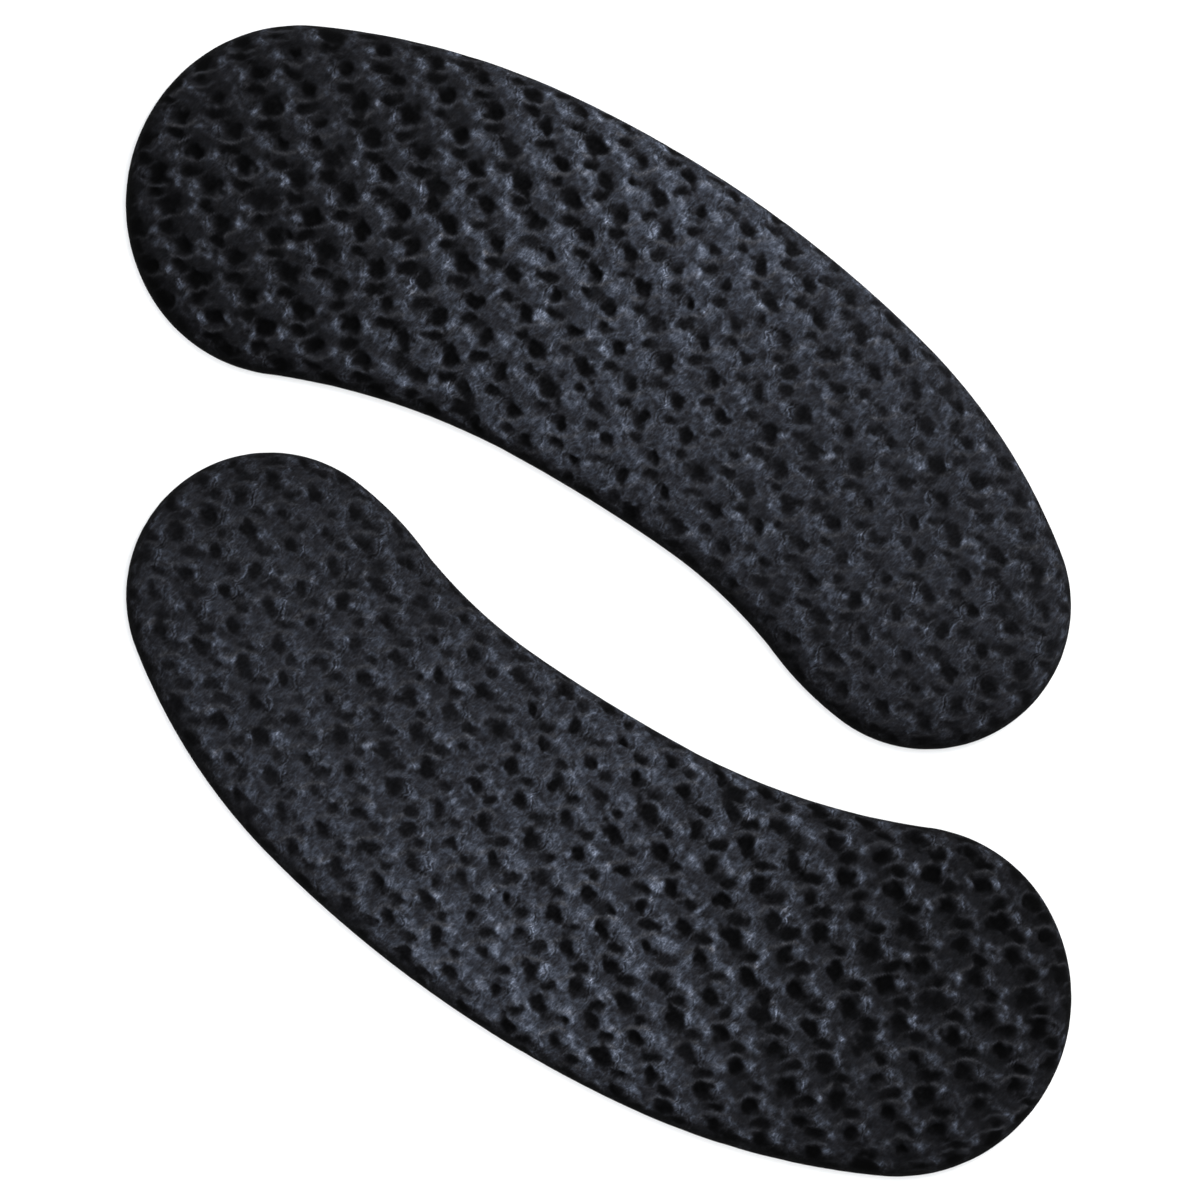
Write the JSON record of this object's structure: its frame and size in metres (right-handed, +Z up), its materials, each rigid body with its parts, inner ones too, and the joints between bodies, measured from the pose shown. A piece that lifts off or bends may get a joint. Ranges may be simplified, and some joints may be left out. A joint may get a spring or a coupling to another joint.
{
  "type": "self-adhesive heel cushion pair",
  "caption": "Pair of kidney-shaped heel cushions: knitted mesh cover over foam, with double-sided tape and a split peel-off liner, for the inside of a shoe's heel.",
  "frame": {"origin": "centre of the pair, on the surface that the liners lie on", "axes": "+X along both pads, from pad A's wide end toward its narrow end; +Y across, from pad B toward pad A; +Z up, out of the mesh covers"},
  "size_m": [0.1144, 0.0776, 0.005],
  "materials": {
    "mesh_fabric": "matte",
    "foam": "matte",
    "adhesive_film": "satin",
    "release_paper": "satin"
  },
  "bodies": {
    "pad_a": {"cover_mesh_a": "mesh_fabric", "foam_core_a": "foam", "adhesive_tape_a": "adhesive_film"},
    "pad_b": {"cover_mesh_b": "mesh_fabric", "foam_core_b": "foam", "adhesive_tape_b": "adhesive_film"},
    "liner_half_wide_a": {"liner_wide_a": "release_paper"},
    "liner_half_narrow_a": {"liner_narrow_a": "release_paper"},
    "liner_half_wide_b": {"liner_wide_b": "release_paper"},
    "liner_half_narrow_b": {"liner_narrow_b": "release_paper"}
  },
  "joints": [
    {"name": "pad_b_lift", "type": "slide", "parent": "pad_a", "child": "pad_b", "axis": [0, 0, 1], "range_m": [0, 0.06]},
    {"name": "liner_wide_a_peel", "type": "hinge", "parent": "pad_a", "child": "liner_half_wide_a", "pos_m": [-0.05664, 0.0202, 0.00015], "axis": [0, 1, 0], "range_deg": [0, 180]},
    {"name": "liner_narrow_a_peel", "type": "hinge", "parent": "pad_a", "child": "liner_half_narrow_a", "pos_m": [0.0384, 0.0202, 0.00015], "axis": [0, -1, 0], "range_deg": [0, 180]},
    {"name": "liner_wide_b_peel", "type": "hinge", "parent": "pad_b", "child": "liner_half_wide_b", "pos_m": [0.05664, -0.0202, 0.00015], "axis": [0, -1, 0], "range_deg": [0, 180]},
    {"name": "liner_narrow_b_peel", "type": "hinge", "parent": "pad_b", "child": "liner_half_narrow_b", "pos_m": [-0.0384, -0.0202, 0.00015], "axis": [0, 1, 0], "range_deg": [0, 180]}
  ]
}
